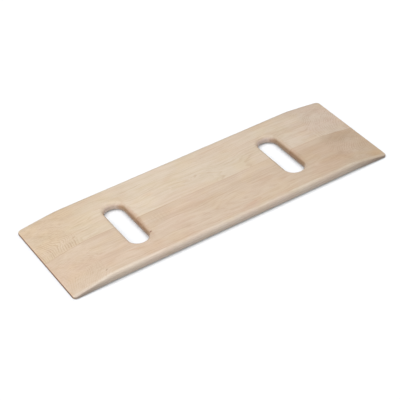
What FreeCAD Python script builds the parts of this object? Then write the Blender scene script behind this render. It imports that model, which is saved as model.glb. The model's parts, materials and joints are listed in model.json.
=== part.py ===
import FreeCAD, Part

# Transfer board: a flat maple board that a seated person slides across between two seats.
# Two full-length staves are glued edge to edge on the centre line, the top face is tapered
# down at both ends, every edge is rounded over, and a hand slot goes through near each end.
#
# Frame, in millimetres: +X along the board, +Y across it towards the back long edge, +Z up.
# The origin is the centre of the underside, which lies on z = 0.

import math
import os

from FreeCAD import Vector

INCH = 25.4

# Driving dimensions
BOARD_LENGTH = 24.0 * INCH
BOARD_WIDTH = 8.0 * INCH
BOARD_THICKNESS = 0.625 * INCH

TAPER_LENGTH = 2.9 * INCH        # from the crease to the end of the board
END_THICKNESS = 4.4              # what the taper leaves at the end
TAPER_BELLY = 0.5                # how far the taper bulges above a straight line
CREASE_BLEND_RADIUS = 70.0       # softens the line where the taper starts

CORNER_RADIUS = 7.0              # the four corners, seen from above
EDGE_ROUND_SHARE = 0.45          # long edges: rounding radius as a share of the full thickness
EDGE_ROUND_SHARE_AT_END = 0.38   # the same where the taper is thinnest
END_ROUND_RADIUS = 1.0           # the thin end's upper and lower edges

SLOT_SPACING = 12.1 * INCH       # centre to centre, along the board
SLOT_WIDTH = 35.0                # along the board
SLOT_LENGTH = 4.5 * INCH         # across the board
SLOT_ROUND_RADIUS = 7.2          # rounding of the slot's rims, above and below

GLUE_THICKNESS = 0.15            # the film between the two staves

TAPER_STATIONS = 5               # points along a taper where the edge rounding is set
OVERSIZE = 10.0                  # how far cutting tools reach past the board
CLOSE = 0.01                     # how near a point has to be to count as on a face

# Values worked out from them
HALF_LENGTH = BOARD_LENGTH / 2.0
HALF_WIDTH = BOARD_WIDTH / 2.0
CREASE_X = HALF_LENGTH - TAPER_LENGTH
TAPER_DROP = BOARD_THICKNESS - END_THICKNESS
TAPER_CHORD = math.hypot(TAPER_LENGTH, TAPER_DROP)
TAPER_RADIUS = (TAPER_CHORD ** 2 / 4.0 + TAPER_BELLY ** 2) / (2.0 * TAPER_BELLY)
SLOT_X = SLOT_SPACING / 2.0


def taper_centre():
    """Centre of the shallow arc that the right-hand taper follows, in the XZ plane."""
    middle = Vector(CREASE_X + TAPER_LENGTH / 2.0, 0, BOARD_THICKNESS - TAPER_DROP / 2.0)
    outward = Vector(TAPER_DROP, 0, TAPER_LENGTH).normalize()
    return middle - outward * (TAPER_RADIUS - TAPER_BELLY)


def top_height(x):
    """Height of the top face at a distance x from the middle, before the crease is softened."""
    reach = abs(x)
    if reach <= CREASE_X:
        return BOARD_THICKNESS
    centre = taper_centre()
    return centre.z + math.sqrt(TAPER_RADIUS ** 2 - (reach - centre.x) ** 2)


def taper_station(index):
    """Distance from the middle of one of the evenly spaced points along a taper."""
    return CREASE_X + TAPER_LENGTH * index / (TAPER_STATIONS - 1)


def side_outline():
    """The board seen from its front long edge: flat below, tapered to both ends above."""
    reach = [taper_station(i) for i in range(TAPER_STATIONS)]
    stations = [-x for x in reversed(reach)] + reach
    edges = []
    for left, right in zip(stations, stations[1:]):
        edges.append(Part.LineSegment(Vector(left, 0, 0), Vector(right, 0, 0)).toShape())
        start = Vector(left, 0, top_height(left))
        end = Vector(right, 0, top_height(right))
        if abs(left) == abs(right):
            edges.append(Part.LineSegment(start, end).toShape())
        else:
            middle_x = (left + right) / 2.0
            middle = Vector(middle_x, 0, top_height(middle_x))
            edges.append(Part.Arc(start, middle, end).toShape())
    for x in (stations[0], stations[-1]):
        edges.append(Part.LineSegment(Vector(x, 0, 0), Vector(x, 0, END_THICKNESS)).toShape())
    return Part.Wire(Part.__sortEdges__(edges))


def near(value, target):
    return abs(value - target) < CLOSE


def tapered_blank():
    """The sawn board: tapers cut, creases softened, corners rounded, edges still square."""
    blank = Part.Face(side_outline()).extrude(Vector(0, BOARD_WIDTH, 0))
    blank.translate(Vector(0, -HALF_WIDTH, 0))
    creases = [
        edge for edge in blank.Edges
        if near(abs(edge.CenterOfMass.x), CREASE_X) and near(edge.CenterOfMass.z, BOARD_THICKNESS)
    ]
    blank = blank.makeFillet(CREASE_BLEND_RADIUS, creases)
    corners = [
        edge for edge in blank.Edges
        if near(abs(edge.CenterOfMass.x), HALF_LENGTH) and near(abs(edge.CenterOfMass.y), HALF_WIDTH)
    ]
    return blank.makeFillet(CORNER_RADIUS, corners)


def on_outline(point):
    """True for a point on the board's outline as seen from above."""
    past_x = abs(point.x) - (HALF_LENGTH - CORNER_RADIUS)
    past_y = abs(point.y) - (HALF_WIDTH - CORNER_RADIUS)
    if past_x > 0 and past_y > 0:
        return near(math.hypot(past_x, past_y), CORNER_RADIUS)
    return near(past_x, CORNER_RADIUS) or near(past_y, CORNER_RADIUS)


def outline_loop(solid, above):
    """The closed run of edges round the top face, or round the underside.

    Gives (edge number, start point, end point) for each edge, head to tail.
    """
    rest = []
    for number, edge in enumerate(solid.Edges, start=1):
        start = edge.valueAt(edge.FirstParameter)
        middle = edge.valueAt((edge.FirstParameter + edge.LastParameter) / 2.0)
        end = edge.valueAt(edge.LastParameter)
        level = min(start.z, end.z) > CLOSE if above else max(start.z, end.z) < CLOSE
        if level and on_outline(start) and on_outline(middle) and on_outline(end):
            rest.append((number, start, end))
    loop = [rest.pop(0)]
    while rest:
        tail = loop[-1][2]
        for place, (number, start, end) in enumerate(rest):
            if start.distanceToPoint(tail) < CLOSE:
                loop.append((number, start, end))
                break
            if end.distanceToPoint(tail) < CLOSE:
                loop.append((number, end, start))
                break
        rest.pop(place)
    return loop


def rounding_radius(point):
    """Radius of the edge rounding at a point of the outline."""
    if near(abs(point.x), HALF_LENGTH):
        return END_ROUND_RADIUS
    along = max(0.0, abs(point.x) - CREASE_X) / TAPER_LENGTH
    share = EDGE_ROUND_SHARE + (EDGE_ROUND_SHARE_AT_END - EDGE_ROUND_SHARE) * along
    return share * top_height(point.x)


def round_outline(solid):
    """Rounds the outline above and below, less and less as the tapers thin the board."""
    document = FreeCAD.newDocument("board")
    square = document.addObject("Part::Feature", "square")
    square.Shape = solid
    rounding = document.addObject("Part::Fillet", "rounding")
    rounding.Base = square
    rounding.Edges = [
        (number, rounding_radius(start), rounding_radius(end))
        for above in (True, False)
        for number, start, end in outline_loop(solid, above)
    ]
    document.recompute()
    return rounding.Shape.Solids[0].copy()


def slot_cutter(x):
    """A round-ended block that runs across the board and past both faces."""
    end_radius = SLOT_WIDTH / 2.0
    straight = SLOT_LENGTH - SLOT_WIDTH
    height = BOARD_THICKNESS + 2.0 * OVERSIZE
    cutter = Part.makeBox(SLOT_WIDTH, straight, height, Vector(x - end_radius, -straight / 2.0, -OVERSIZE))
    for y in (-straight / 2.0, straight / 2.0):
        cutter = cutter.fuse(Part.makeCylinder(end_radius, height, Vector(x, y, -OVERSIZE)))
    return cutter.removeSplitter()


def cut_slot(solid, x):
    """Cuts one hand slot and rounds both of its rims."""
    solid = solid.cut(slot_cutter(x))
    rims = [
        edge for edge in solid.Edges
        if abs(edge.CenterOfMass.x - x) < SLOT_WIDTH / 2.0 + CLOSE
        and edge.BoundBox.YMax < SLOT_LENGTH / 2.0 + CLOSE
        and edge.BoundBox.YMin > -SLOT_LENGTH / 2.0 - CLOSE
        and edge.BoundBox.ZLength < CLOSE
    ]
    return solid.makeFillet(SLOT_ROUND_RADIUS, rims)


def whole_board():
    """The glued-up board in one piece, before it is parted along the glue film."""
    board = round_outline(tapered_blank())
    for x in (-SLOT_X, SLOT_X):
        board = cut_slot(board, x)
    return board.removeSplitter()


def strip(x_from, x_to, y_from, y_to):
    """A block over part of the board's plan, taller than the board."""
    height = BOARD_THICKNESS + 2.0 * OVERSIZE
    return Part.makeBox(x_to - x_from, y_to - y_from, height, Vector(x_from, y_from, -OVERSIZE))


def stave(board, side):
    """One of the two staves: side is 1 for the back one and -1 for the front one."""
    near_y = side * GLUE_THICKNESS / 2.0
    far_y = side * (HALF_WIDTH + OVERSIZE)
    end = HALF_LENGTH + OVERSIZE
    return board.common(strip(-end, end, min(near_y, far_y), max(near_y, far_y))).Solids[0]


def glue_line(board, x_from, x_to):
    """One stretch of the glue film: the slots part it into three."""
    half = GLUE_THICKNESS / 2.0
    return board.common(strip(x_from, x_to, -half, half)).Solids[0]


def main():
    os.makedirs("parts", exist_ok=True)
    board = whole_board()
    end = HALF_LENGTH + OVERSIZE
    nodes = {
        "back_stave": stave(board, 1),
        "front_stave": stave(board, -1),
        "glue_line_left": glue_line(board, -end, -SLOT_X),
        "glue_line_middle": glue_line(board, -SLOT_X, SLOT_X),
        "glue_line_right": glue_line(board, SLOT_X, end),
    }
    for name, shape in nodes.items():
        shape.exportStep(f"parts/{name}.step")


main()
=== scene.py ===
import json
import math
from collections import namedtuple

import bmesh
import bpy
import numpy as np
from mathutils import Matrix, Vector


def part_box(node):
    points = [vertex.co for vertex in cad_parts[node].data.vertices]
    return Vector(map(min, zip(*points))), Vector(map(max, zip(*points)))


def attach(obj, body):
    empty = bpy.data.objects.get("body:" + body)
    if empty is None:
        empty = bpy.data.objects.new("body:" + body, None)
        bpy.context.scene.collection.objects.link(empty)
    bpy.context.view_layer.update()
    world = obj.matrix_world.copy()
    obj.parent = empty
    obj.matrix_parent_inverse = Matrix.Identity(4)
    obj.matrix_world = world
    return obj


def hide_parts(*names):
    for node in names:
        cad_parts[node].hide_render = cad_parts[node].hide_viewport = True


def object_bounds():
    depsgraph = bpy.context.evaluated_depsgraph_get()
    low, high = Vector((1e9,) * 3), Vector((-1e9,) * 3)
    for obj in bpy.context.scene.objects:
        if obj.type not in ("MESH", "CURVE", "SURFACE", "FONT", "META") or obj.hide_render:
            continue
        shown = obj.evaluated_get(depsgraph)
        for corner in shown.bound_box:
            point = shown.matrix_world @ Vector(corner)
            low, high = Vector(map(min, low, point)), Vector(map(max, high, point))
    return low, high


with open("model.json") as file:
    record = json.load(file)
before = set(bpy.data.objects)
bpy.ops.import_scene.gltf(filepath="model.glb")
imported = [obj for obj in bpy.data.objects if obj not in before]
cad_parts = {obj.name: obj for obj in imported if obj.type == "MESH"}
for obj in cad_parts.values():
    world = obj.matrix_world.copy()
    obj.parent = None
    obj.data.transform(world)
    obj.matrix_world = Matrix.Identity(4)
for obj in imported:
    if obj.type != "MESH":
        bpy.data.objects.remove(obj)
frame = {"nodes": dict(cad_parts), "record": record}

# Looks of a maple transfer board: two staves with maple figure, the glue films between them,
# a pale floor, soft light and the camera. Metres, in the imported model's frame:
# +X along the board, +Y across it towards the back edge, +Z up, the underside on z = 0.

CAD_BOX = [list(corner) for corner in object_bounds()]
HALF_LENGTH, HALF_WIDTH, THICKNESS = CAD_BOX[1]
MOUNTS = {mount["name"]: mount for mount in frame["record"]["mounts"]}
SLOT_CENTRES = [MOUNTS[name]["pos_m"][0] for name in ("left_hand_slot", "right_hand_slot")]
SEAM_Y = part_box("back_stave")[0].y

# Shape of the board
MM = 0.001
TAPER_LENGTH = 73.66 * MM         # from the crease to the end of the board
END_THICKNESS = 4.4 * MM          # what the taper leaves at the end
TAPER_BELLY = 0.5 * MM            # how far the taper bulges above a straight line
CREASE_BLEND_RADIUS = 70.0 * MM   # softens the line where the taper starts
CORNER_RADIUS = 7.0 * MM          # the four corners, seen from above
EDGE_ROUND_SHARE = 0.45           # long edges: rounding radius as a share of the full thickness
EDGE_ROUND_SHARE_AT_END = 0.38    # the same where the taper is thinnest
END_ROUND_RADIUS = 1.0 * MM       # the thin end's upper and lower edges
SLOT_WIDTH = 35.0 * MM            # along the board
SLOT_LENGTH = 114.3 * MM          # across the board
SLOT_ROUND_RADIUS = 7.2 * MM      # rounding of the slot's rims, above and below

# Mesh density
FLAT_MARGIN = 0.4 * MM            # flat row that keeps a rounding's shading off the flat face
ROUND_STEPS = 12                  # quads round a quarter of a rounding
SLOT_ARC_STEPS = 48               # quads round the half-circle end of a slot, a multiple of four
SLOT_SIDE_STEPS = 12              # quads along the straight side of half a slot
SLOT_BLOCK_HALF = 32.0 * MM       # half width of the square-cornered block of quads round a slot
SLOT_BLOCK_RINGS = 4
CORNER_BLOCK = 25.0 * MM          # length of the block of quads behind each corner
CORNER_STEPS = 10
COLUMN_LENGTH = 4.5 * MM          # quads along the board, away from the slots
MERGE = 1e-6                      # corners of quads nearer than this are one vertex
SHARP_ANGLE = math.radians(40)    # folds sharper than this stay sharp: the stave's side at the seam

CREASE_X = HALF_LENGTH - TAPER_LENGTH
TAPER_DROP = THICKNESS - END_THICKNESS


# ---------------------------------------------------------------- shape

def taper_profile():
    """Centre and radius of the shallow arc of the taper, and the centre of the crease's arc."""
    chord = math.hypot(TAPER_LENGTH, TAPER_DROP)
    radius = (chord ** 2 / 4 + TAPER_BELLY ** 2) / (2 * TAPER_BELLY)
    reach = (radius - TAPER_BELLY) / chord
    centre_x = CREASE_X + TAPER_LENGTH / 2 - TAPER_DROP * reach
    centre_z = THICKNESS - TAPER_DROP / 2 - TAPER_LENGTH * reach
    blend_z = THICKNESS - CREASE_BLEND_RADIUS
    blend_x = centre_x + math.sqrt((radius - CREASE_BLEND_RADIUS) ** 2 - (blend_z - centre_z) ** 2)
    return centre_x, centre_z, radius, blend_x, blend_z


def top_height(x):
    """Height of the top face: flat, then the softened crease, then the taper."""
    centre_x, centre_z, radius, blend_x, blend_z = taper_profile()
    blend_end = centre_x + (blend_x - centre_x) * radius / (radius - CREASE_BLEND_RADIUS)
    reach = np.abs(x)
    blend = blend_z + np.sqrt(np.maximum(CREASE_BLEND_RADIUS ** 2 - (reach - blend_x) ** 2, 0))
    taper = centre_z + np.sqrt(radius ** 2 - (reach - centre_x) ** 2)
    return np.where(reach <= blend_x, THICKNESS, np.where(reach <= blend_end, blend, taper))


def edge_radius(x):
    """Radius of the long edges' rounding at a distance x from the middle."""
    along = np.maximum(np.abs(x) - CREASE_X, 0) / TAPER_LENGTH
    share = EDGE_ROUND_SHARE + (EDGE_ROUND_SHARE_AT_END - EDGE_ROUND_SHARE) * along
    return share * top_height(x)


def rounding(outline, outward, radius, over):
    """Rows of points from the flat, over the rounding, to the vertical wall.

    outline is the wall's line in plan and outward its outward normals. over is 1 for the
    top face and 0 for the underside.
    """
    turn = np.linspace(0, math.pi / 2, ROUND_STEPS + 1)
    inset = [radius + FLAT_MARGIN] + [radius * (1 - math.sin(t)) for t in turn]
    drop = [radius * 0] + [radius * (1 - math.cos(t)) for t in turn]
    rows = []
    for back, fall in zip(inset, drop):
        plan = outline - outward * back[:, None]
        height = top_height(plan[:, 0]) - fall if over else fall
        rows.append(np.column_stack([plan, height]))
    return np.array(rows)


def face_rows(plan, over):
    """Lifts rows of points in plan onto the top face, or leaves them on the underside."""
    height = top_height(plan[..., 0]) if over else np.zeros(plan.shape[:-1])
    return np.concatenate([plan, height[..., None]], axis=-1)


def coons(bottom, top, left, right):
    """Fills a four-sided patch in plan from its four sides."""
    u = np.linspace(0, 1, len(bottom))[None, :, None]
    v = np.linspace(0, 1, len(left))[:, None, None]
    sides = (1 - v) * bottom[None] + v * top[None] + (1 - u) * left[:, None] + u * right[:, None]
    corners = (
        (1 - u) * (1 - v) * bottom[0] + u * (1 - v) * bottom[-1]
        + (1 - u) * v * top[0] + u * v * top[-1]
    )
    return sides - corners


def side_rows():
    """Distances from the seam of the rows of quads beside a slot, and of the block's far side."""
    straight = SLOT_LENGTH / 2 - SLOT_WIDTH / 2
    eighth = SLOT_ARC_STEPS // 4
    rays = np.linspace(0, math.pi / 4, eighth + 1)[1:]
    beside = np.linspace(SEAM_Y, straight, SLOT_SIDE_STEPS + 1)
    return np.concatenate([beside, straight + SLOT_BLOCK_HALF * np.tan(rays)])


def slot_outline(x):
    """Half a slot's wall in plan, its normals into the slot, and the block's outline round it."""
    straight = SLOT_LENGTH / 2 - SLOT_WIDTH / 2
    half = SLOT_WIDTH / 2
    rows = side_rows()
    beside = rows[:SLOT_SIDE_STEPS + 1]
    turn = np.linspace(math.pi, 0, SLOT_ARC_STEPS + 1)[1:-1]
    facing = np.column_stack([np.cos(turn), np.sin(turn)])
    reach = SLOT_BLOCK_HALF / np.abs(facing).max(axis=1)
    left = np.column_stack([np.full(len(beside), x - half), beside])
    arc = np.array([x, straight]) + half * facing
    right = np.column_stack([np.full(len(beside), x + half), beside])[::-1]
    wall = np.concatenate([left, arc, right])
    into = np.concatenate([
        np.tile([1.0, 0], (len(left), 1)),
        -facing,
        np.tile([-1.0, 0], (len(right), 1)),
    ])
    outer = np.concatenate([
        left - [SLOT_BLOCK_HALF - half, 0],
        np.array([x, straight]) + facing * reach[:, None],
        right + [SLOT_BLOCK_HALF - half, 0],
    ])
    return wall, into, outer


def column_places():
    """Places along the board of the columns of quads, and the same for the strips beside slots."""
    rays = np.linspace(3 * math.pi / 4, math.pi / 4, SLOT_ARC_STEPS // 2 + 1)
    left, right = (x + SLOT_BLOCK_HALF / np.tan(rays) for x in SLOT_CENTRES)
    inner_end = HALF_LENGTH - CORNER_BLOCK
    stops = [-inner_end, left[0], left[-1], right[0], right[-1], inner_end]
    plain = []
    for start, stop in zip(stops[::2], stops[1::2]):
        count = round((stop - start) / COLUMN_LENGTH)
        plain.append(np.linspace(start, stop, count + 1))
    whole = np.concatenate([plain[0][:-1], left[:-1], plain[1][:-1], right[:-1], plain[2]])
    return plain, whole


def end_outline(side):
    """One end's wall in plan from the seam to the middle of the corner, its normals and radii."""
    rows = side_rows()
    straight_end = HALF_WIDTH - CORNER_RADIUS
    upper = np.linspace(rows[-1], straight_end, CORNER_STEPS // 2 + 1)[1:]
    straight = np.concatenate([rows, upper])
    turn = np.linspace(0, math.pi / 2, CORNER_STEPS + 1)[1:]
    facing = np.column_stack([side * np.cos(turn), np.sin(turn)])
    centre = np.array([side * (HALF_LENGTH - CORNER_RADIUS), straight_end])
    wall = np.concatenate([
        np.column_stack([np.full(len(straight), side * HALF_LENGTH), straight]),
        centre + CORNER_RADIUS * facing,
    ])
    outward = np.concatenate([np.tile([float(side), 0], (len(straight), 1)), facing])
    ease = (turn / (math.pi / 2)) ** 2 * (3 - 2 * turn / (math.pi / 2))
    corner = END_ROUND_RADIUS + (edge_radius(centre[0]) - END_ROUND_RADIUS) * ease
    return wall, outward, np.concatenate([np.full(len(straight), END_ROUND_RADIUS), corner])


def long_outline():
    """The long edge's wall in plan between the corners' arcs, its normals and radii."""
    plain, whole = column_places()
    count = CORNER_STEPS // 2
    tip = HALF_LENGTH - CORNER_RADIUS
    left = np.linspace(-tip, whole[0], count + 1)
    right = np.linspace(whole[-1], tip, count + 1)
    x = np.concatenate([left[:-1], whole, right[1:]])
    wall = np.column_stack([x, np.full(len(x), HALF_WIDTH)])
    outward = np.tile([0, 1.0], (len(x), 1))
    return wall, outward, edge_radius(x)


def outline():
    """The back half of the board's outline from the seam at the left end to the right end's."""
    left, long, right = end_outline(-1), long_outline(), end_outline(1)
    return [
        np.concatenate([left[i], long[i][1:-1], right[i][::-1]])
        for i in range(3)
    ]


def stave_sheets():
    """Grids of points that together cover the back stave, all but its side along the seam."""
    rims = {over: rounding(*outline(), over) for over in (1, 0)}
    sheets = [rims[1], rims[0], np.array([rims[1][-1], rims[0][-1]])]
    rows = side_rows()
    plain, whole = column_places()
    for over in (1, 0):
        for places in plain:
            sheets.append(face_rows(np.stack(np.meshgrid(places, rows), axis=-1), over))
        sheets += outer_sheets(rims[over][0][:, :2], rows, whole, over)
    for x in SLOT_CENTRES:
        sheets += slot_sheets(x)
    return sheets


def slot_sheets(x):
    """Half a slot: its wall, its two rounded rims, and the block of quads round them."""
    wall, into, block = slot_outline(x)
    radius = np.full(len(wall), SLOT_ROUND_RADIUS)
    share = np.linspace(0, 1, SLOT_BLOCK_RINGS + 1)[:, None, None]
    rims = [rounding(wall, into, radius, over) for over in (1, 0)]
    sheets = [*rims, np.array([rims[0][-1], rims[1][-1]])]
    for rim, over in zip(rims, (1, 0)):
        ring = block[None] * (1 - share) + rim[0][None, :, :2] * share
        sheets.append(face_rows(ring, over))
    return sheets


def outer_sheets(inner, rows, whole, over):
    """The face between the slots' blocks and the long edge's rounding, corners included.

    inner is the line in plan where the outline's rounding starts.
    """
    start = len(rows) - 1
    first_far = start + 2 * CORNER_STEPS
    far = inner[first_far:first_far + len(whole)]
    near = np.column_stack([whole, np.full(len(whole), rows[-1])])
    share = np.linspace(0, 1, CORNER_STEPS + 1)[:, None, None]
    sheets = [face_rows(near[None] * (1 - share) + far[None] * share, over)]
    for side, line in ((-1, inner), (1, inner[::-1])):
        end_side = line[start:start + CORNER_STEPS + 1]
        long_side = line[start + CORNER_STEPS:start + 2 * CORNER_STEPS + 1]
        columns = np.linspace(line[0, 0], side * (HALF_LENGTH - CORNER_BLOCK), CORNER_STEPS + 1)
        bottom = np.column_stack([columns, np.full(len(columns), rows[-1])])
        joined = np.linspace(bottom[-1], long_side[-1], CORNER_STEPS + 1)
        sheets.append(face_rows(coons(bottom, long_side, end_side, joined), over))
        sheets.append(face_rows(np.stack(np.meshgrid(columns, rows), axis=-1), over))
    return sheets


def seam_sheets(sheets):
    """The flat side along the seam: upright quads between the top and bottom outlines there."""
    points = np.concatenate([grid.reshape(-1, 3) for grid in sheets])
    points = points[np.abs(points[:, 1] - SEAM_Y) < MERGE]
    _, single = np.unique(np.round(points / MERGE).astype(np.int64), axis=0, return_index=True)
    points = points[single]
    over = points[:, 2] > top_height(points[:, 0]) / 2
    walls = [x + side * SLOT_WIDTH / 2 for x in SLOT_CENTRES for side in (-1, 1)]
    stretches = [(-HALF_LENGTH, walls[0]), (walls[1], walls[2]), (walls[3], HALF_LENGTH)]
    found = []
    for start, stop in stretches:
        here = (points[:, 0] > start - MERGE) & (points[:, 0] < stop + MERGE)
        found.append(np.array([points[here & over], points[here & ~over]]))
    return found


def build_stave(name, side, material):
    """One stave: side is 1 for the back one and -1 for the front one."""
    sheets = stave_sheets()
    sheets += seam_sheets(sheets)
    form = bmesh.new()
    for grid in sheets:
        points = [[form.verts.new(point * [1, side, 1]) for point in row] for row in grid]
        for row, after in zip(points, points[1:]):
            for quad in zip(row, row[1:], after[1:], after):
                form.faces.new(quad)
    bmesh.ops.remove_doubles(form, verts=form.verts, dist=MERGE)
    bmesh.ops.recalc_face_normals(form, faces=form.faces)
    mesh = bpy.data.meshes.new(name)
    form.to_mesh(mesh)
    form.free()
    mesh.shade_smooth()
    mesh.set_sharp_from_angle(angle=SHARP_ANGLE)
    mesh.materials.append(material)
    stave = bpy.data.objects.new(name, mesh)
    bpy.context.scene.collection.objects.link(stave)
    return stave


# ---------------------------------------------------------------- materials

# Places in the wood figure, in millimetres on the board, with turns in degrees.
# A swell is a hump in the growth rings, which the flat face cuts into loops.
Swell = namedtuple("Swell", "x y half_length half_width turn rise")
# A mark is a patch of the wood with its own tint: a mineral spot, a streak, a curl. Some marks are
# painted shade and light instead: on the slots' rims and along the right taper's front edge.
Mark = namedtuple("Mark", "x y half_length half_width turn tint")
# A drift is a tint that grows from one place along the board to another. Those that darken towards
# the right end are partly the wood's tone and partly painted shade, where less light falls along
# the board.
Drift = namedtuple("Drift", "start end tint")
# pith is the rings' centre, across the board and below it, and tilt its rise along the board.
# The tints, in order: rings on the left and right tapers, seam, long edge and its upper arris. The
# last two are painted light: a cool sheen and a highlight on the front stave, shade on the back
# one.
Figure = namedtuple(
    "Figure",
    "base pith tilt seed swells marks drifts taper_ring_tints seam_tint side_tint arris_tint",
)

# Painted shade and light on the slots' rims: painted shade on the right-hand rim of each slot, and
# painted light on the left slot's left-hand rim
RIM_SHADE_AND_LIGHT_MARKS = [
    Mark(-133.5, 0, 7, 75, 0, (0.83, 0.73, 0.68)),
    Mark(174, 0, 7, 75, 0, (0.92, 0.86, 0.82)),
    Mark(-173.5, 0, 4, 70, 0, (1.10, 1.10, 1.12)),
]

BACK_FIGURE = Figure(
    base=(0.524, 0.450, 0.367),
    pith=(10, -290),
    tilt=0.004,
    seed=3.0,
    swells=[
        Swell(4, 36, 16, 8, 25, 1.6),
        Swell(-252, 30, 30, 16, 10, 1.8),
        Swell(262, 62, 34, 14, -12, 0.9),
    ],
    marks=[
        Mark(3, 36, 8, 4, 30, (0.88, 0.83, 0.79)),
        Mark(-50, 30, 15, 4, 60, (1.04, 1.04, 1.06)),
        Mark(-44, 57, 18, 8, 20, (0.98, 0.94, 0.93)),
        Mark(-86, 41, 14, 7, -15, (0.98, 0.94, 0.92)),
        Mark(-241, 19, 5, 2, 20, (0.82, 0.75, 0.70)),
        Mark(60, 84, 40, 3, 3, (0.97, 0.93, 0.90)),
        Mark(118, 22, 26, 5, -6, (1.03, 1.03, 1.03)),
        *RIM_SHADE_AND_LIGHT_MARKS,
    ],
    # the drifts towards the right end are partly painted shade
    drifts=[
        Drift(-80, -260, (0.965, 0.94, 0.885)),
        Drift(-160, 270, (0.885, 0.885, 0.88)),
        Drift(120, 300, (0.97, 0.945, 0.97)),
    ],
    taper_ring_tints=[(0.84, 0.79, 0.75), (0.93, 0.90, 0.88)],
    seam_tint=(1.045, 1.045, 1.045),
    side_tint=(0.95, 0.955, 0.96),
    arris_tint=(0.97, 0.985, 1.0),
)
FRONT_FIGURE = Figure(
    base=(0.512, 0.420, 0.341),
    pith=(-62, -200),
    tilt=-0.004,
    seed=11.0,
    swells=[
        Swell(206, -63, 30, 12, 4, 2.8),
        Swell(246, -66, 24, 13, -6, 2.6),
        Swell(-262, -58, 30, 18, 12, 1.2),
        Swell(40, -84, 26, 7, 6, 1.6),
    ],
    marks=[
        Mark(-176, -68, 25, 2.4, -13, (0.95, 0.86, 0.83)),
        Mark(-236, -84, 4, 2, 25, (0.66, 0.60, 0.56)),
        Mark(-132.3, -44.8, 3.0, 2.2, 0, (0.40, 0.24, 0.24)),
        Mark(40, -83, 26, 6, 5, (0.96, 0.89, 0.86)),
        Mark(292, -88, 24, 14, 0, (1.0, 0.94, 0.84)),
        # painted shade: the next mark dims the arris highlight along the right taper's front edge
        Mark(272, -97, 38, 10, 0, (0.95, 0.915, 0.87)),
        Mark(272, -18, 46, 22, 4, (0.90, 0.87, 0.85)),
        Mark(-20, -30, 30, 5, 3, (0.97, 0.93, 0.91)),
        Mark(96, -42, 34, 4, -4, (0.97, 0.94, 0.92)),
        Mark(226, -64, 42, 14, 0, (0.95, 0.92, 0.90)),
        *RIM_SHADE_AND_LIGHT_MARKS,
    ],
    # the drifts towards the right end are partly painted shade
    drifts=[
        Drift(-285, 300, (0.86, 0.85, 0.82)),
        Drift(-60, -280, (0.97, 0.96, 0.93)),
        Drift(80, 300, (0.91, 0.90, 0.88)),
    ],
    taper_ring_tints=[(0.99, 0.985, 0.98), (0.89, 0.85, 0.83)],
    seam_tint=(0.90, 0.87, 0.845),
    side_tint=(0.97, 1.04, 1.12),
    arris_tint=(1.09, 1.09, 1.07),
)
CURL = Mark(-103, -20, 36, 16, 0, (0.955, 0.95, 0.945))
CURL_SPACING = 6.5 * MM

# A layer is noise that varies the wood. scales says how finely it runs along X, Y and Z, per
# metre, and offset moves it. It brings in the tint as the noise rises from low to high.
Layer = namedtuple("Layer", "scales offset detail roughness low high tint")
STREAKS = Layer((8, 560, 560), (3, 1), 3.0, 0.6, 0.40, 0.72, (0.91, 0.885, 0.86))
THREADS = Layer((34, 2200, 2200), (5, 2), 2.0, 0.5, 0.40, 0.70, (0.95, 0.935, 0.92))
RAYS = Layer((330, 2600, 1400), (8, 3), 1.0, 0.5, 0.66, 0.76, (0.90, 0.86, 0.82))
MOTTLE = Layer((20, 34, 34), (7, 4), 2.0, 0.5, 0.35, 0.65, (0.967, 0.955, 0.94))
ROSY = Layer((15, 30, 30), (1, 8), 2.0, 0.5, 0.42, 0.66, (1.0, 0.967, 0.963))
STRAW = Layer((22, 36, 36), (9, 5), 2.0, 0.5, 0.45, 0.66, (1.0, 0.988, 0.945))
RING_LINES = Layer((45, 75, 75), (6, 6), 2.0, 0.5, 0.36, 0.60, (0.90, 0.86, 0.82))
END_PORES = Layer((900, 1500, 1500), (0, 0), 2.0, 0.5, 0.45, 0.70, (0.84, 0.79, 0.74))
WORN = Layer((70, 110, 110), (0, 0), 3.0, 0.5, 0.30, 0.65, (0.985, 0.95, 0.91))
SCUFFS = Layer((16, 700, 700), (0, 4), 1.0, 0.5, 0.62, 0.72, None)

# Growth rings. A Sway is noise about zero: how finely it runs, per metre, and how far it reaches.
Sway = namedtuple("Sway", "scale size")
PITH_ASIDE = Sway(5.0, 10 * MM)
PITH_DEPTH = Sway(7.0, 3 * MM)
RING_WAVER = Sway((16, 60, 60), 0.9 * MM)
RAGGED_ALONG = Sway((60, 160, 160), 3 * MM)
RAGGED_ACROSS = Sway((50, 130, 130), 1.6 * MM)
RING_SPACING = 0.66 * MM
RING_START, RING_PEAK = 0.30, 0.86   # where in a year's growth its dark line starts and peaks
RING_FAINTEST = 0.3                  # how strong the lines are where they fade
YEARS_SCALE = 800.0                  # how finely the years differ, per metre of radius
YEARS_LOW, YEARS_HIGH, YEAR_FAINTEST = 0.3, 0.7, 0.25
BANDS_SCALE, BANDS_ALONG = 300.0, 3.0
BANDS_LOW, BANDS_HIGH = 0.35, 0.70
BANDS_TINT = (0.945, 0.93, 0.905)
TAPER_RINGS_FROM, TAPER_RINGS_TO = CREASE_X - 4 * MM, CREASE_X + 12 * MM

# Seam, slots and long edges
SEAM_CORE, SEAM_REACH = 0.96 * MM, 2.4 * MM
SEAM_FROM, SEAM_TO, SEAM_FAINTEST = -200 * MM, 100 * MM, 0.6   # it fades along the board
BACK_WALL_LIGHT_TINT = (1.18, 1.17, 1.28)       # painted light that makes the slots' back walls paler
BACK_WALL_LIGHT_CORE, BACK_WALL_LIGHT_REACH = 0.5 * MM, 2.5 * MM
BACK_WALL_LIGHT_FROM, BACK_WALL_LIGHT_TO = 35 * MM, 50 * MM
SIDE_INSET, SIDE_BLEND = 8.5 * MM, 2 * MM   # how far in from the long edges their painted sheen and shade reach, over the rounding
ARRIS_START, ARRIS_FULL = 2.5 * MM, 4.5 * MM

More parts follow.
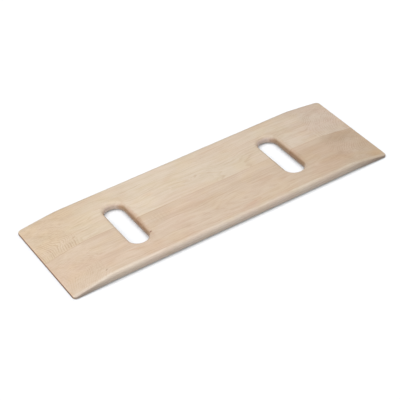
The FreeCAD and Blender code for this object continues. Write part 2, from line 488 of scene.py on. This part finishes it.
# Ends. Facing and sideways are how squarely a surface looks along the board or across it.
END_GRAIN_TINT = (0.74, 0.62, 0.50)
END_GRAIN_LOW, END_GRAIN_HIGH, END_PORES_HIGH = 0.5, 0.98, 0.9
END_ARRIS_HIGHLIGHT_TINT = (1.08, 1.10, 1.12)  # painted highlight on the thin line just inside each end
END_ARRIS_WIDTH = 2.2 * MM
# the end faces: darker end grain and painted shade
END_FACE_GRAIN_AND_SHADE_TINT = (0.50, 0.31, 0.23)
END_FACE_CORE, END_FACE_REACH = 0.1 * MM, 0.8 * MM
THIN_EDGE_SHADE_TINT = (0.62, 0.60, 0.60)  # painted shade on the long edges' walls on the tapers, which are darker
THIN_EDGE_FROM, THIN_EDGE_TO = 10 * MM, TAPER_LENGTH + 14 * MM
THIN_EDGE_LOW, THIN_EDGE_HIGH = 0.35, 0.8

# Wear, lacquer and the fine relief
WEAR_REACH = 6.0 * MM
RIM_WEAR = 0.25                      # how strong wear is on the slots' rims, beside the ends
SIDE_WEAR = 0.5                      # and on the long edges
WORN_FAINTEST = 0.45
NOISE_LOW, NOISE_HIGH = 0.2, 0.8     # about the least and the most that noise reaches
SATIN_LOW, SATIN_HIGH = 0.38, 0.47   # roughness of the lacquer
SCUFF_ROUGHNESS = 0.07
WORN_POLISH = 0.05
THREADS_HEIGHT, STREAKS_HEIGHT = 0.4, 0.6
BUMP_STRENGTH, BUMP_DISTANCE = 0.22, 0.2 * MM
SPECULAR = 0.30

GLUE_COLOUR = (0.52, 0.41, 0.29)
GLUE_SATIN_LOW, GLUE_SATIN_HIGH = 0.35, 0.5
GLUE_RUNS = Layer((60, 60, 200), (0, 0), 3.0, 0.5, 0.3, 0.7, (0.72, 0.66, 0.58))


class Shader:
    """A material's node tree, with a short call for each kind of node used here."""

    def __init__(self, name):
        self.material = bpy.data.materials.new(name)
        self.material.use_nodes = True
        self.tree = self.material.node_tree
        self.surface = self.tree.nodes["Principled BSDF"]

    def feed(self, socket, value):
        if isinstance(value, bpy.types.NodeSocket):
            self.tree.links.new(value, socket)
        else:
            socket.default_value = value

    def node(self, kind, inputs=(), **settings):
        node = self.tree.nodes.new(kind)
        for key, value in settings.items():
            setattr(node, key, value)
        for key, value in dict(inputs).items():
            self.feed(node.inputs[key], value)
        return node

    def calc(self, operation, *values):
        return self.node("ShaderNodeMath", enumerate(values), operation=operation).outputs[0]

    def point(self, x, y, z):
        return self.node("ShaderNodeCombineXYZ", {"X": x, "Y": y, "Z": z}).outputs[0]

    def parts(self, vector):
        return self.node("ShaderNodeSeparateXYZ", {"Vector": vector}).outputs

    def length(self, vector):
        node = self.node("ShaderNodeVectorMath", {0: vector}, operation="LENGTH")
        return node.outputs["Value"]

    def stretch(self, vector, scales, shift=(0, 0, 0)):
        inputs = {0: vector, 1: scales, 2: shift}
        return self.node("ShaderNodeVectorMath", inputs, operation="MULTIPLY_ADD").outputs[0]

    def noise(self, vector, detail=2.0, roughness=0.5):
        inputs = {"Vector": vector, "Scale": 1.0, "Detail": detail, "Roughness": roughness}
        return self.node("ShaderNodeTexNoise", inputs).outputs["Fac"]

    def wave(self, vector, size, detail=2.0):
        """Noise about zero that reaches about size to either side."""
        centred = self.calc("SUBTRACT", self.noise(vector, detail), 0.5)
        return self.calc("MULTIPLY", centred, 2 * size)

    def layer(self, vector, layer, seed=0.0):
        spot = self.stretch(vector, layer.scales, (seed, *layer.offset))
        return self.noise(spot, layer.detail, layer.roughness)

    def between(self, value, low, high, start=0.0, end=1.0):
        """Eases from start, where value is low or less, to end, where it is high or more."""
        return self.node(
            "ShaderNodeMapRange",
            {"Value": value, "From Min": low, "From Max": high, "To Min": start, "To Max": end},
            interpolation_type="SMOOTHSTEP",
        ).outputs["Result"]

    def patch(self, place, x, y, half_length, half_width, turn):
        """One at the middle of an oval place on the board, fading to nothing at its rim."""
        oval = self.node(
            "ShaderNodeMapping",
            {
                "Vector": place,
                "Location": (x * MM, y * MM, 0),
                "Rotation": (0, 0, math.radians(turn)),
                "Scale": (half_length * MM, half_width * MM, 1),
            },
            vector_type="TEXTURE",
        )
        return self.between(self.length(oval.outputs["Vector"]), 0.1, 1.0, 1.0, 0.0)

    def tint(self, colour, tint, amount):
        """Multiplies colour by tint, as strongly as amount says."""
        return self.node(
            "ShaderNodeMixRGB",
            {"Fac": amount, "Color1": colour, "Color2": (*tint, 1.0)},
            blend_type="MULTIPLY",
        ).outputs["Color"]

    def tint_layer(self, colour, layer, noise):
        return self.tint(colour, layer.tint, self.between(noise, layer.low, layer.high))


def ring_depth(shader, place, figure):
    """Coordinates that follow the wood's fibres, and the distance from the rings' centre."""
    x, y, z = shader.parts(place)
    aside = shader.point(shader.calc("MULTIPLY", x, PITH_ASIDE.scale), figure.seed, 0.0)
    lift = shader.point(shader.calc("MULTIPLY", x, PITH_DEPTH.scale), figure.seed, 9.0)
    across = shader.calc("SUBTRACT", y, figure.pith[0] * MM)
    across = shader.calc("ADD", across, shader.wave(aside, PITH_ASIDE.size))
    depth = shader.calc("SUBTRACT", z, figure.pith[1] * MM)
    depth = shader.calc("ADD", depth, shader.wave(lift, PITH_DEPTH.size))
    depth = shader.calc("ADD", depth, shader.calc("MULTIPLY", x, figure.tilt))
    fibre = shader.point(x, across, depth)
    waver = shader.stretch(fibre, RING_WAVER.scale, (figure.seed, 0, 0))
    radius = shader.length(shader.point(0.0, across, depth))
    radius = shader.calc("ADD", radius, shader.wave(waver, RING_WAVER.size, 3.0))
    for swell in figure.swells:
        hump = shader.patch(place, *swell[:5])
        radius = shader.calc("ADD", radius, shader.calc("MULTIPLY", hump, -swell.rise * MM))
    return fibre, radius


def ring_lines(shader, radius, place, seed):
    """The thin darker line that closes each year's growth, stronger in some years and places."""
    within = shader.calc("FRACT", shader.calc("DIVIDE", radius, RING_SPACING))
    rise = shader.between(within, RING_START, RING_PEAK)
    fall = shader.between(within, RING_PEAK, 1.0, 1.0, 0.0)
    years = shader.point(shader.calc("MULTIPLY", radius, YEARS_SCALE), seed, 3.0)
    years = shader.between(shader.noise(years, 1.0), YEARS_LOW, YEARS_HIGH, YEAR_FAINTEST, 1.0)
    faint = shader.layer(place, RING_LINES, seed)
    faint = shader.between(faint, RING_LINES.low, RING_LINES.high, RING_FAINTEST, 1.0)
    lines = shader.calc("MULTIPLY", shader.calc("MULTIPLY", rise, fall), years)
    return shader.calc("MULTIPLY", lines, faint)


def slot_distance(shader, place):
    """Distance in plan from the nearer slot's wall, into the wood."""
    x, y, _ = shader.parts(place)
    past = shader.calc("SUBTRACT", shader.calc("ABSOLUTE", y), (SLOT_LENGTH - SLOT_WIDTH) / 2)
    past = shader.calc("MAXIMUM", past, 0.0)
    aside = shader.calc("SUBTRACT", shader.calc("ABSOLUTE", x), SLOT_CENTRES[1])
    from_axis = shader.length(shader.point(aside, past, 0.0))
    return shader.calc("SUBTRACT", from_axis, SLOT_WIDTH / 2)


def wear(shader, place):
    """How worn the slots' rims and the board's edges are, broken up by noise."""
    x, y, _ = shader.parts(place)
    rim = shader.between(slot_distance(shader, place), 0.0, WEAR_REACH, RIM_WEAR, 0.0)
    along, aside = shader.calc("ABSOLUTE", x), shader.calc("ABSOLUTE", y)
    end = shader.between(along, HALF_LENGTH - WEAR_REACH, HALF_LENGTH)
    side = shader.between(aside, HALF_WIDTH - WEAR_REACH / 2, HALF_WIDTH, 0.0, SIDE_WEAR)
    worn = shader.calc("MAXIMUM", shader.calc("MAXIMUM", rim, end), side)
    uneven = shader.layer(place, WORN)
    uneven = shader.between(uneven, WORN.low, WORN.high, WORN_FAINTEST, 1.0)
    return shader.calc("MULTIPLY", worn, uneven)


def grain_colour(shader, place, ragged, figure):
    """Rings, fibres, ray flecks and patches. Also gives the streaks and threads by themselves."""
    seed = figure.seed
    fibre, radius = ring_depth(shader, ragged, figure)
    x = shader.parts(place)[0]
    rings = ring_lines(shader, radius, place, seed)
    colour = shader.tint((*figure.base, 1.0), RING_LINES.tint, rings)
    for side, tint in zip((-1, 1), figure.taper_ring_tints):
        outwards = shader.calc("MULTIPLY", x, side)
        taper = shader.between(outwards, TAPER_RINGS_FROM, TAPER_RINGS_TO)
        colour = shader.tint(colour, tint, shader.calc("MULTIPLY", rings, taper))
    bands = shader.noise(shader.point(
        shader.calc("MULTIPLY", radius, BANDS_SCALE), seed, shader.calc("MULTIPLY", x, BANDS_ALONG)
    ))
    colour = shader.tint(colour, BANDS_TINT, shader.between(bands, BANDS_LOW, BANDS_HIGH))
    streaks = shader.layer(fibre, STREAKS, seed)
    threads = shader.layer(fibre, THREADS, seed)
    colour = shader.tint_layer(colour, STREAKS, streaks)
    colour = shader.tint_layer(colour, THREADS, threads)
    colour = shader.tint_layer(colour, RAYS, shader.layer(fibre, RAYS, seed))
    for layer in (MOTTLE, ROSY, STRAW):
        colour = shader.tint_layer(colour, layer, shader.layer(place, layer, seed))
    return colour, streaks, threads


def marked_colour(shader, place, ragged, figure, colour):
    """Adds the drift of tint along the stave, partly painted shade, and its marks, among them
    painted shade and light on the slots' rims, and the curl.
    """
    x = shader.parts(place)[0]
    for drift in figure.drifts:
        amount = shader.between(x, *sorted((drift.start * MM, drift.end * MM)))
        if drift.start > drift.end:
            amount = shader.calc("SUBTRACT", 1.0, amount)
        colour = shader.tint(colour, drift.tint, amount)
    for mark in figure.marks:
        colour = shader.tint(colour, mark.tint, shader.patch(ragged, *mark[:5]))
    turns = shader.calc("MULTIPLY", shader.parts(ragged)[0], 2 * math.pi / CURL_SPACING)
    ripple = shader.between(shader.calc("SINE", turns), -1.0, 1.0)
    ripple = shader.calc("MULTIPLY", ripple, shader.patch(place, *CURL[:5]))
    return shader.tint(colour, CURL.tint, ripple)


def edged_colour(shader, place, figure, colour):
    """Adds the tints along the seam, painted light on the slots' back walls, and painted light on
    the long edges: a cool sheen and highlight on the front stave, shade on the back one.
    """
    x, y, _ = shader.parts(place)
    aside = shader.calc("ABSOLUTE", y)
    seam = shader.between(aside, SEAM_CORE, SEAM_REACH, 1.0, 0.0)
    faded = shader.between(x, SEAM_FROM, SEAM_TO, 1.0, SEAM_FAINTEST)
    colour = shader.tint(colour, figure.seam_tint, shader.calc("MULTIPLY", seam, faded))
    # painted light that makes the slots' back walls paler
    back_wall_light = shader.between(slot_distance(shader, place), BACK_WALL_LIGHT_CORE, BACK_WALL_LIGHT_REACH, 1.0, 0.0)
    back_wall_light = shader.calc("MULTIPLY", back_wall_light, shader.between(y, BACK_WALL_LIGHT_FROM, BACK_WALL_LIGHT_TO))
    colour = shader.tint(colour, BACK_WALL_LIGHT_TINT, back_wall_light)
    # painted light on the long edge and its arris: cool sheen and highlight on the front stave,
    # shade on the back
    inset = shader.calc("SUBTRACT", HALF_WIDTH, aside)
    side = shader.between(inset, SIDE_INSET - SIDE_BLEND, SIDE_INSET, 1.0, 0.0)
    colour = shader.tint(colour, figure.side_tint, side)
    arris_painted_light = shader.calc("MULTIPLY", side, shader.between(inset, ARRIS_START, ARRIS_FULL))
    return shader.tint(colour, figure.arris_tint, arris_painted_light)


def ended_colour(shader, place, normal, colour):
    """Adds end grain, the thin ends, with a painted highlight along each end's top edge and a face
    darkened by end grain and painted shade, and painted shade on the thin stretches of the long
    edges.
    """
    facing, sideways = (shader.calc("ABSOLUTE", part) for part in shader.parts(normal)[:2])
    grain = shader.between(facing, END_GRAIN_LOW, END_GRAIN_HIGH)
    colour = shader.tint(colour, END_GRAIN_TINT, grain)
    from_end = shader.calc("SUBTRACT", HALF_LENGTH, shader.calc("ABSOLUTE", shader.parts(place)[0]))
    # painted highlight along the top edge of each end
    arris_end = END_FACE_REACH + END_ARRIS_WIDTH
    arris_painted_light = shader.between(from_end, END_FACE_REACH, arris_end, 1.0, 0.0)
    colour = shader.tint(colour, END_ARRIS_HIGHLIGHT_TINT, arris_painted_light)
    # the end face darkened: end grain and painted shade
    face = shader.between(from_end, END_FACE_CORE, END_FACE_REACH, 1.0, 0.0)
    colour = shader.tint(colour, END_FACE_GRAIN_AND_SHADE_TINT, face)
    # painted shade on the long edges' walls along the tapers
    thin = shader.between(from_end, THIN_EDGE_FROM, THIN_EDGE_TO, 1.0, 0.0)
    wall = shader.between(sideways, THIN_EDGE_LOW, THIN_EDGE_HIGH)
    colour = shader.tint(colour, THIN_EDGE_SHADE_TINT, shader.calc("MULTIPLY", thin, wall))
    pores = shader.between(shader.layer(place, END_PORES), END_PORES.low, END_PORES.high)
    cut = shader.between(facing, END_GRAIN_LOW, END_PORES_HIGH)
    return shader.tint(colour, END_PORES.tint, shader.calc("MULTIPLY", cut, pores))


def maple(name, figure):
    shader = Shader(name)
    coordinates = shader.node("ShaderNodeTexCoord").outputs
    place = coordinates["Object"]
    along = shader.stretch(place, RAGGED_ALONG.scale, (figure.seed, 0, 0))
    across = shader.stretch(place, RAGGED_ACROSS.scale, (0, figure.seed, 0))
    shake = shader.point(
        shader.wave(along, RAGGED_ALONG.size), shader.wave(across, RAGGED_ACROSS.size), 0.0
    )
    ragged = shader.node("ShaderNodeVectorMath", {0: place, 1: shake}, operation="ADD").outputs[0]
    worn = wear(shader, place)
    colour, streaks, threads = grain_colour(shader, place, ragged, figure)
    colour = marked_colour(shader, place, ragged, figure, colour)
    colour = edged_colour(shader, place, figure, colour)
    colour = ended_colour(shader, place, coordinates["Normal"], colour)
    colour = shader.tint(colour, WORN.tint, worn)
    shader.feed(shader.surface.inputs["Base Color"], colour)

    scuffs = shader.layer(place, SCUFFS)
    scuffs = shader.between(scuffs, SCUFFS.low, SCUFFS.high, 0.0, SCUFF_ROUGHNESS)
    satin = shader.between(streaks, NOISE_LOW, NOISE_HIGH, SATIN_LOW, SATIN_HIGH)
    satin = shader.calc("ADD", satin, scuffs)
    satin = shader.calc("SUBTRACT", satin, shader.calc("MULTIPLY", worn, WORN_POLISH))
    shader.feed(shader.surface.inputs["Roughness"], satin)
    shader.feed(shader.surface.inputs["Specular IOR Level"], SPECULAR)
    relief = shader.calc("MULTIPLY", threads, THREADS_HEIGHT)
    relief = shader.calc("ADD", relief, shader.calc("MULTIPLY", streaks, STREAKS_HEIGHT))
    relief = shader.calc("SUBTRACT", relief, scuffs)
    inputs = {"Height": relief, "Strength": BUMP_STRENGTH, "Distance": BUMP_DISTANCE}
    bump = shader.node("ShaderNodeBump", inputs)
    shader.feed(shader.surface.inputs["Normal"], bump.outputs[0])
    return shader.material


def glue(name):
    shader = Shader(name)
    place = shader.node("ShaderNodeTexCoord").outputs["Object"]
    runs = shader.layer(place, GLUE_RUNS)
    colour = shader.tint_layer((*GLUE_COLOUR, 1.0), GLUE_RUNS, runs)
    shader.feed(shader.surface.inputs["Base Color"], colour)
    satin = shader.between(runs, NOISE_LOW, NOISE_HIGH, GLUE_SATIN_LOW, GLUE_SATIN_HIGH)
    shader.feed(shader.surface.inputs["Roughness"], satin)
    return shader.material


# ---------------------------------------------------------------- stage

# Angles about the board's middle, then metres, then millimetres for the lens and sensor
CAMERA_AZIMUTH = math.radians(-28.830)
CAMERA_ELEVATION = math.radians(38.234)
CAMERA_ROLL = math.radians(-5.263)
CAMERA_DISTANCE = 2.3158
CAMERA_ASIDE = -0.01046
CAMERA_RAISED = -0.00835
CAMERA_REACH = 100.0
CAMERA_LENS = 123.88
CAMERA_SENSOR = 36.0

FLOOR_SIZE = 40.0
FLOOR_COLOUR = (0.560, 0.571, 0.588)
FLOOR_GLOW = 0.125                # light from the floor itself, which pales the shadows on it
SKY_AT_HORIZON = 1.0              # strength of the pale surroundings low down
SKY_OVERHEAD = 0.06               # and from SKY_FADE upwards
SKY_FADE = 0.22                   # height on a unit sphere

# Broad, distant lights. Azimuth 0 is in front of the board and 90 at its right end. spread is
# how wide the light looks from the board. All three are in degrees.
Softbox = namedtuple("Softbox", "name azimuth elevation spread strength")
SOFTBOXES = [
    Softbox("overhead", 0, 90, 64, 2.80),
    Softbox("right", 90, 35, 40, 0.32),
    Softbox("left", -90, 50, 40, 1.27),
    Softbox("front_left", -45, 50, 40, 0.36),
    Softbox("front", 0, 50, 40, 0.72),
]


def direction(azimuth, elevation):
    """The way from the board to a place round it, with azimuth 0 in front of the board."""
    return Vector((
        math.sin(azimuth) * math.cos(elevation),
        -math.cos(azimuth) * math.cos(elevation),
        math.sin(elevation),
    ))


def add_camera():
    back = direction(CAMERA_AZIMUTH, CAMERA_ELEVATION)
    aside = Vector((math.cos(CAMERA_AZIMUTH), math.sin(CAMERA_AZIMUTH), 0))
    up = back.cross(aside)
    data = bpy.data.cameras.new("camera")
    data.lens = CAMERA_LENS
    data.sensor_width = CAMERA_SENSOR
    data.clip_end = CAMERA_REACH
    camera = bpy.data.objects.new("camera", data)
    turn = Matrix((aside, up, back)).transposed() @ Matrix.Rotation(CAMERA_ROLL, 3, "Z")
    place = back * CAMERA_DISTANCE + aside * CAMERA_ASIDE + up * CAMERA_RAISED
    camera.matrix_world = Matrix.Translation(place) @ turn.to_4x4()
    bpy.context.scene.collection.objects.link(camera)
    bpy.context.scene.camera = camera


def add_floor():
    half = FLOOR_SIZE / 2
    mesh = bpy.data.meshes.new("floor")
    corners = [(-half, -half, 0), (half, -half, 0), (half, half, 0), (-half, half, 0)]
    mesh.from_pydata(corners, [], [(0, 1, 2, 3)])
    shader = Shader("floor")
    shader.feed(shader.surface.inputs["Base Color"], (*FLOOR_COLOUR, 1.0))
    shader.feed(shader.surface.inputs["Roughness"], 0.9)
    shader.feed(shader.surface.inputs["Specular IOR Level"], 0.0)
    shader.feed(shader.surface.inputs["Emission Color"], (1.0, 1.0, 1.0, 1.0))
    shader.feed(shader.surface.inputs["Emission Strength"], FLOOR_GLOW)
    mesh.materials.append(shader.material)
    floor = bpy.data.objects.new("floor", mesh)
    bpy.context.scene.collection.objects.link(floor)


def add_softbox(name, azimuth, elevation, spread, strength):
    towards = direction(math.radians(azimuth), math.radians(elevation))
    data = bpy.data.lights.new(name, "SUN")
    data.angle = math.radians(spread)
    data.energy = strength
    light = bpy.data.objects.new(name, data)
    light.location = towards
    light.rotation_euler = (-towards).to_track_quat("-Z", "Y").to_euler()
    bpy.context.scene.collection.objects.link(light)


def add_world():
    """Pale surroundings near the horizon, dim overhead, so that the softboxes model the board."""
    world = bpy.data.worlds.new("studio")
    world.use_nodes = True
    nodes, links = world.node_tree.nodes, world.node_tree.links
    height = nodes.new("ShaderNodeSeparateXYZ")
    links.new(nodes.new("ShaderNodeTexCoord").outputs["Generated"], height.inputs[0])
    fade = nodes.new("ShaderNodeMapRange")
    fade.inputs["From Max"].default_value = SKY_FADE
    fade.inputs["To Min"].default_value = SKY_AT_HORIZON
    fade.inputs["To Max"].default_value = SKY_OVERHEAD
    links.new(height.outputs["Z"], fade.inputs["Value"])
    links.new(fade.outputs["Result"], nodes["Background"].inputs["Strength"])
    nodes["Background"].inputs["Color"].default_value = (1.0, 1.0, 1.0, 1.0)
    bpy.context.scene.world = world


def main():
    staves = [
        ("back_stave", 1, "maple_pale", maple("maple_pale", BACK_FIGURE)),
        ("front_stave", -1, "maple_warm", maple("maple_warm", FRONT_FIGURE)),
    ]
    for node, side, slot, material in staves:
        piece = build_stave("maple_" + node, side, material)
        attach(piece, "root")
        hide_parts(node)
    film = glue("wood_glue")
    for name, node in frame["nodes"].items():
        if name.startswith("glue_line"):
            node.data.materials.clear()
            node.data.materials.append(film)
    add_floor()
    add_world()
    for softbox in SOFTBOXES:
        add_softbox(*softbox)
    add_camera()
    bpy.context.scene.view_settings.view_transform = "Standard"


main()
